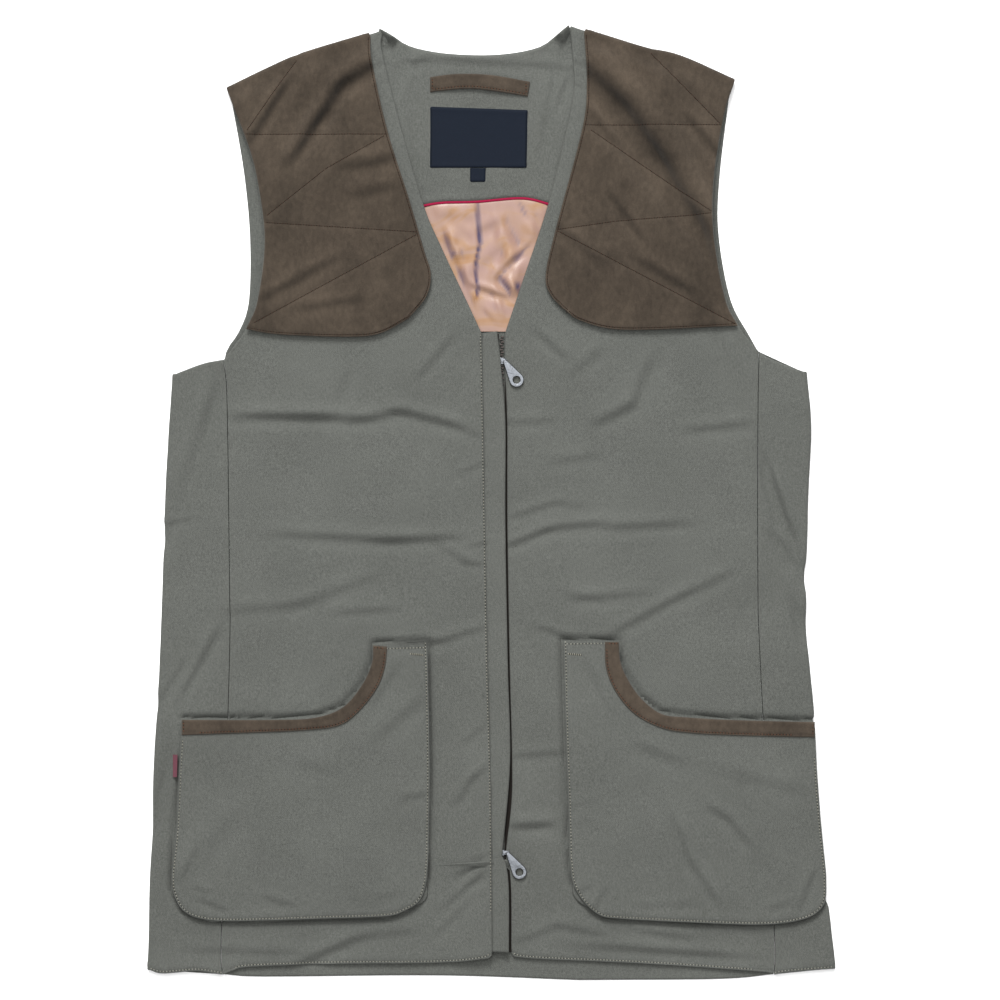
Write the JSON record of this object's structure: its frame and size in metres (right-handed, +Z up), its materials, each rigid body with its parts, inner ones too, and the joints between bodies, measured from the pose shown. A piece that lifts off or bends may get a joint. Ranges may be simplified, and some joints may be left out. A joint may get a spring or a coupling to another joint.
{
  "type": "shooting vest",
  "caption": "Sleeveless shooting vest laid flat, with suede gun patches, zip front under a flap, and two scooped cargo pockets.",
  "frame": {"origin": "centre of the vest's outline, on the surface it lies on", "axes": "+Z up out of the surface, +Y from hem to neck, +X towards the wearer's left"},
  "size_m": [0.5848, 0.8105, 0.0097],
  "materials": {
    "shell": "matt sage grey-green cotton twill",
    "suede": "dark brown suede",
    "satin": "apricot satin",
    "piping": "crimson",
    "label": "bare navy weave",
    "tab": "dusty burgundy weave",
    "zip": "dark brown tape and teeth",
    "nickel": "worn nickel"
  },
  "bodies": {
    "root": {"back": "shell", "side_right": "shell", "side_left": "shell", "front_right": "shell", "front_left": "shell", "fly_flap": "shell", "zip_tape_right": "zip", "zip_tape_left": "zip", "zip_chain": "zip", "zip_chain_head": "zip", "zip_chain_foot": "zip", "slider_top": "nickel", "slider_bottom": "nickel", "patch_right": "suede", "patch_left": "suede", "pocket_gusset_right": "shell", "pocket_face_right": "shell", "pocket_binding_right": "suede", "pocket_gusset_left": "shell", "pocket_face_left": "shell", "pocket_binding_left": "suede", "pocket_tab": "tab", "back_facing": "shell", "piping": "piping", "lining": "satin", "hanging_loop": "suede", "label": "label", "size_tab": "label"},
    "pull_top": {"pull_top": "nickel"},
    "pull_bottom": {"pull_bottom": "nickel"}
  },
  "joints": [
    {"name": "pull_top_swing", "type": "hinge", "parent": "root", "child": "pull_top", "pos_m": [0.0114, 0.12075, 0.0064], "axis": [-0.848, -0.5299, 0], "range_deg": [0, 120]},
    {"name": "pull_bottom_swing", "type": "hinge", "parent": "root", "child": "pull_bottom", "pos_m": [0.0138, -0.29675, 0.0064], "axis": [-0.848, -0.5299, 0], "range_deg": [0, 120]}
  ]
}
